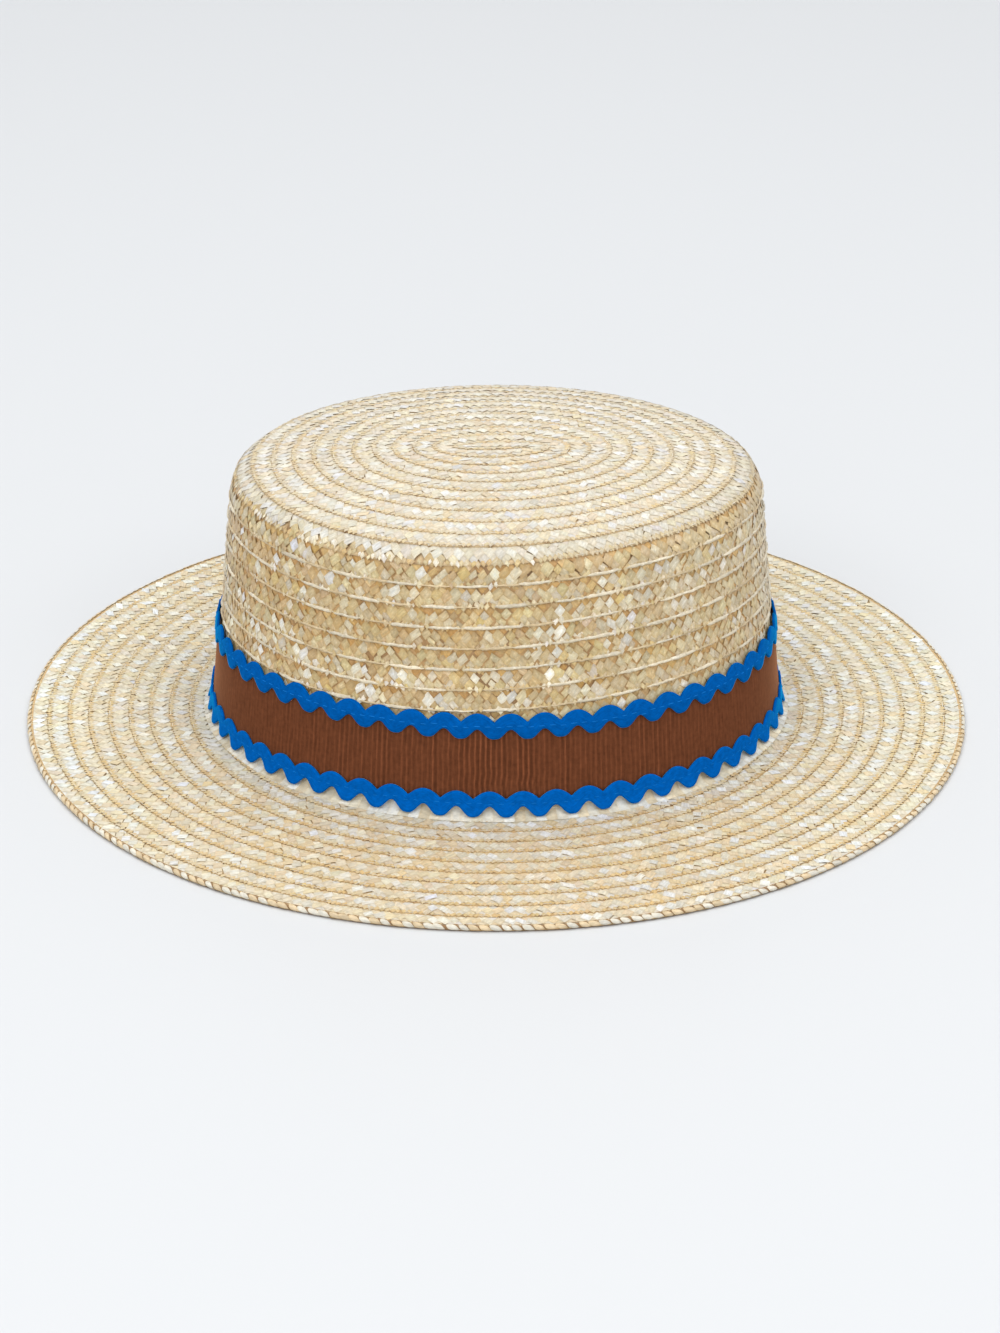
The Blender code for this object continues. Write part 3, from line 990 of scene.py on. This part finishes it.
# Stitches along the middle of the trims: colour, lighter than the trims' blue as a painted highlight
# on the raised thread, length, pitch, width, scatter of height, how far they narrow and flatten towards
# their ends, and how far their middles and their ends sink in
STITCH_COLOUR = (0.008, 0.160, 0.520)
STITCH_LENGTH = 0.0022
STITCH_PITCH = 0.0034
STITCH_WIDTH = 0.00028
STITCH_WOBBLE = 0.0002
STITCH_TAPER = 0.5
STITCH_FLATTEN = 0.9
STITCH_SINK = 0.00004
STITCH_END_SINK = 0.00008


def trim_lean(levels, high):
    """How far a trim leans out at levels counted from its middle. The high one leans in at its top."""
    if high:
        return -TRIM_HUG * np.clip(levels / TRIM_HEIGHT * TRIM_HUG_RATE, 0, 1)
    return TRIM_SPLAY * np.clip(-levels / TRIM_HEIGHT * TRIM_SPLAY_RATE, 0, 1) ** TRIM_SPLAY_POWER


def build_trim(name, middle, crest, colour, material, replaced):
    """Zigzag tape with round lobes, sharp notches above and round arches below.

    Its first crest is some way past the front.
    """
    half_length, half_width, _ = side_ring(middle, TRIM_INNER)
    waves = round(oval_length(half_length, half_width) / TRIM_WAVE)
    turns, length = oval_turns(half_length, half_width, waves * TRIM_STEPS)
    at = np.arange(waves * TRIM_STEPS) / TRIM_STEPS - FRONT_TURN * waves - crest
    swing = TRIM_HEIGHT - TRIM_TAPE
    top = TRIM_HEIGHT / 2 - swing * (1 - np.abs(np.cos(np.pi * at)) ** NOTCH_SHARPNESS)
    low = -TRIM_HEIGHT / 2 + swing * ARCH_DEPTH * np.abs(np.cos(np.pi * at)) ** ARCH_SHARPNESS
    share = np.linspace(-1, 1, TRIM_ACROSS)
    share = np.sin(share * np.pi / 2)
    front = (top + low)[:, None] / 2 + (top - low)[:, None] / 2 * share[None]
    rise = np.clip(1 - np.abs(share) ** TRIM_SQUARENESS, 0, 1) ** 0.5
    out_front = TRIM_INNER + TRIM_THICKNESS * (TRIM_EDGE + (1 - TRIM_EDGE) * rise)
    back = front[:, ::-1] * TRIM_BACK
    front_lean, back_lean = (trim_lean(face, middle > TRIM_LOW_Z) for face in (front, back))
    heights = np.concatenate([middle + front, middle + back], axis=1)
    outwards = np.concatenate([out_front[None] + front_lean, TRIM_INNER + back_lean], axis=1)
    across = np.concatenate([share, share[::-1]])
    along = length * np.arange(len(turns)) / len(turns)
    grain = stacked(along[:, None], across[None] * TRIM_TAPE / 2, 0.0)
    trim = ring_mesh(name, heights, outwards, turns[:, None], np.array(colour), grain, material)
    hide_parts(replaced)
    return trim


def build_stitches(name, middle, material):
    """Short stitches along the middle of a trim."""
    half_length, half_width, _ = side_ring(middle, TRIM_OUTER)
    count = round(oval_length(half_length, half_width) / STITCH_PITCH)
    turns, _ = oval_turns(half_length, half_width, count)
    rng = np.random.default_rng(SEED)
    line = np.linspace(-1, 1, 5)
    a, c = np.meshgrid(line, np.linspace(0, np.pi, 5), indexing="ij")
    heading = turns[:, None, None] + a * STITCH_LENGTH / 2 / half_width
    wobble = STITCH_WOBBLE * rng.standard_normal((count, 1, 1))
    height = middle + wobble + STITCH_WIDTH / 2 * np.cos(c) * (1 - STITCH_TAPER * a * a)
    thick = STITCH_WIDTH / 2 * np.sin(c) * (1 - STITCH_FLATTEN * a ** 4)
    outward = TRIM_OUTER - STITCH_SINK + thick - STITCH_END_SINK * a * a
    hl, hw, z = side_ring(height, outward)
    points = stacked(hl * np.cos(heading), hw * np.sin(heading), z)
    parts = Parts()
    parts.add(points, np.array(STITCH_COLOUR), np.zeros(3))
    return parts.build(name, material)


# Woven materials: scale of the broad patches, range of the noise, specular level and the sheen's
# roughness
PATCH_SCALE = 700.0
WEAVE_RANGE = (0.7, 1.3)
WEAVE_SPECULAR = 0.02
SHEEN_ROUGHNESS = 0.3


def woven_material(name, lines, roughness, sheen, sheen_weight, bump_distance, contrast):
    """Woven thread: fine cords by the grain's own distances, with soft variation of the colour."""
    material, nodes, links, shader = new_material(name)
    tint = node(nodes, "ShaderNodeAttribute", attribute_name="tint")
    grain = node(nodes, "ShaderNodeAttribute", attribute_name="grain")
    threads = node(nodes, "ShaderNodeVectorMath", operation="MULTIPLY")
    threads.inputs[1].default_value = lines
    links.new(grain.outputs["Vector"], threads.inputs[0])
    weave = node(nodes, "ShaderNodeTexNoise", scale=1.0, detail=2.0, roughness=0.5)
    links.new(threads.outputs[0], weave.inputs["Vector"])
    broad = node(nodes, "ShaderNodeTexNoise", scale=PATCH_SCALE, detail=3.0, roughness=0.6)
    place = node(nodes, "ShaderNodeTexCoord")
    links.new(place.outputs["Object"], broad.inputs["Vector"])
    both = node(nodes, "ShaderNodeMath", operation="ADD")
    links.new(weave.outputs[0], both.inputs[0])
    links.new(broad.outputs[0], both.inputs[1])
    shade = map_range(nodes, links, both.outputs[0], WEAVE_RANGE, (1 - contrast, 1 + contrast))
    mix = node(nodes, "ShaderNodeVectorMath", operation="SCALE")
    links.new(tint.outputs["Color"], mix.inputs[0])
    links.new(shade, mix.inputs["Scale"])
    links.new(mix.outputs[0], shader.inputs["Base Color"])
    shader.inputs["Roughness"].default_value = roughness
    shader.inputs["Specular IOR Level"].default_value = WEAVE_SPECULAR
    shader.inputs["Sheen Weight"].default_value = sheen_weight
    shader.inputs["Sheen Roughness"].default_value = SHEEN_ROUGHNESS
    shader.inputs["Sheen Tint"].default_value = (*sheen, 1.0)
    bump = node(nodes, "ShaderNodeBump", strength=0.5, distance=bump_distance)
    links.new(weave.outputs[0], bump.inputs["Height"])
    links.new(bump.outputs[0], shader.inputs["Normal"])
    return material


# Stage: the floor's tones, tint and reach, the light of the surroundings, and the soft lights with
# their place, size and power in watts
FLOOR_TONES = (0.66, 0.69)
FLOOR_TINT = (0.970, 0.985, 1.000)
FLOOR_REACH = 20.0
WORLD_COLOUR = (0.965, 0.98, 1.0, 1.0)
WORLD_STRENGTH = 0.80
LIGHTS = (
    ("key", (-0.9, -1.2, 1.4), 0.6, 5.4),
    ("front", (-0.333, -4.0, 1.5), 2.0, 18.0),
    ("fill", (1.0, -1.0, 1.4), 0.6, 4.3),
    ("top", (0.0, 0.1, 2.0), 2.4, 23.0),
)


def build_stage():
    """Pale floor, the light of the surroundings, soft lights and the view transform."""
    material, nodes, links, shader = new_material("pale_floor")
    speckle = node(nodes, "ShaderNodeTexNoise", scale=3.0, detail=2.0)
    tinted = node(nodes, "ShaderNodeVectorMath", operation="SCALE")
    tinted.inputs[0].default_value = FLOOR_TINT
    links.new(map_range(nodes, links, speckle.outputs[0], (0.0, 1.0), FLOOR_TONES), tinted.inputs["Scale"])
    links.new(tinted.outputs[0], shader.inputs["Base Color"])
    shader.inputs["Roughness"].default_value = 0.5
    mesh = bpy.data.meshes.new("floor")
    far = FLOOR_REACH
    mesh.from_pydata([(-far, -far, 0), (far, -far, 0), (far, far, 0), (-far, far, 0)], [], [(0, 1, 2, 3)])
    mesh.materials.append(material)
    floor = bpy.data.objects.new("floor", mesh)
    bpy.context.scene.collection.objects.link(floor)
    world = bpy.data.worlds.new("studio")
    bpy.context.scene.world = world
    world.use_nodes = True
    background = world.node_tree.nodes["Background"]
    background.inputs["Color"].default_value = WORLD_COLOUR
    background.inputs["Strength"].default_value = WORLD_STRENGTH
    for light in LIGHTS:
        add_light(*light)
    bpy.context.scene.view_settings.view_transform = "Standard"


def add_light(name, place, size, power):
    data = bpy.data.lights.new(name, "AREA")
    data.size = size
    data.energy = power
    light = bpy.data.objects.new(name, data)
    light.location = place
    light.rotation_euler = (-bpy.data.objects[name].location).to_track_quat("-Z", "Y").to_euler()
    bpy.context.scene.collection.objects.link(light)


def build_camera():
    data = bpy.data.cameras.new("camera")
    data.sensor_width = SENSOR
    data.lens = CAMERA_FOCUS_PX * SENSOR / FRAME_LONG_PX
    data.clip_start = 0.01
    camera = bpy.data.objects.new("camera", data)
    back = CAMERA_DISTANCE * cos(CAMERA_PITCH)
    up = CAMERA_DISTANCE * sin(CAMERA_PITCH)
    camera.location = (CAMERA_SIDE, -back, CAMERA_LEVEL + up)
    camera.rotation_euler = (tau / 4 - CAMERA_PITCH, 0, 0)
    bpy.context.scene.collection.objects.link(camera)
    bpy.context.scene.camera = camera


build_camera()
build_stage()
straw = build_straw()
for name, node_name in (("crown_tip", "crown"), ("brim_top", "brim")):
    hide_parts(node_name)
grosgrain = woven_material("grosgrain", lines=(1500.0, 130.0, 1.0), roughness=0.75,
                           sheen=(0.85, 0.42, 0.22), sheen_weight=0.5, bump_distance=0.00005,
                           contrast=0.22)
braid = woven_material("woven_braid", lines=(450.0, 2200.0, 1.0), roughness=0.9,
                       sheen=(0.0, 0.52, 0.95), sheen_weight=0.75, bump_distance=0.00008,
                       contrast=0.20)
build_ribbon(grosgrain)
build_trim("ricrac_high", TRIM_HIGH_Z, TRIM_HIGH_CREST, TRIM_HIGH_COLOUR, braid, "ricrac_upper")
build_trim("ricrac_low", TRIM_LOW_Z, TRIM_LOW_CREST, TRIM_LOW_LIT_COLOUR, braid, "ricrac_lower")
build_stitches("stitches_high", TRIM_HIGH_Z, braid)
build_stitches("stitches_low", TRIM_LOW_Z, braid)
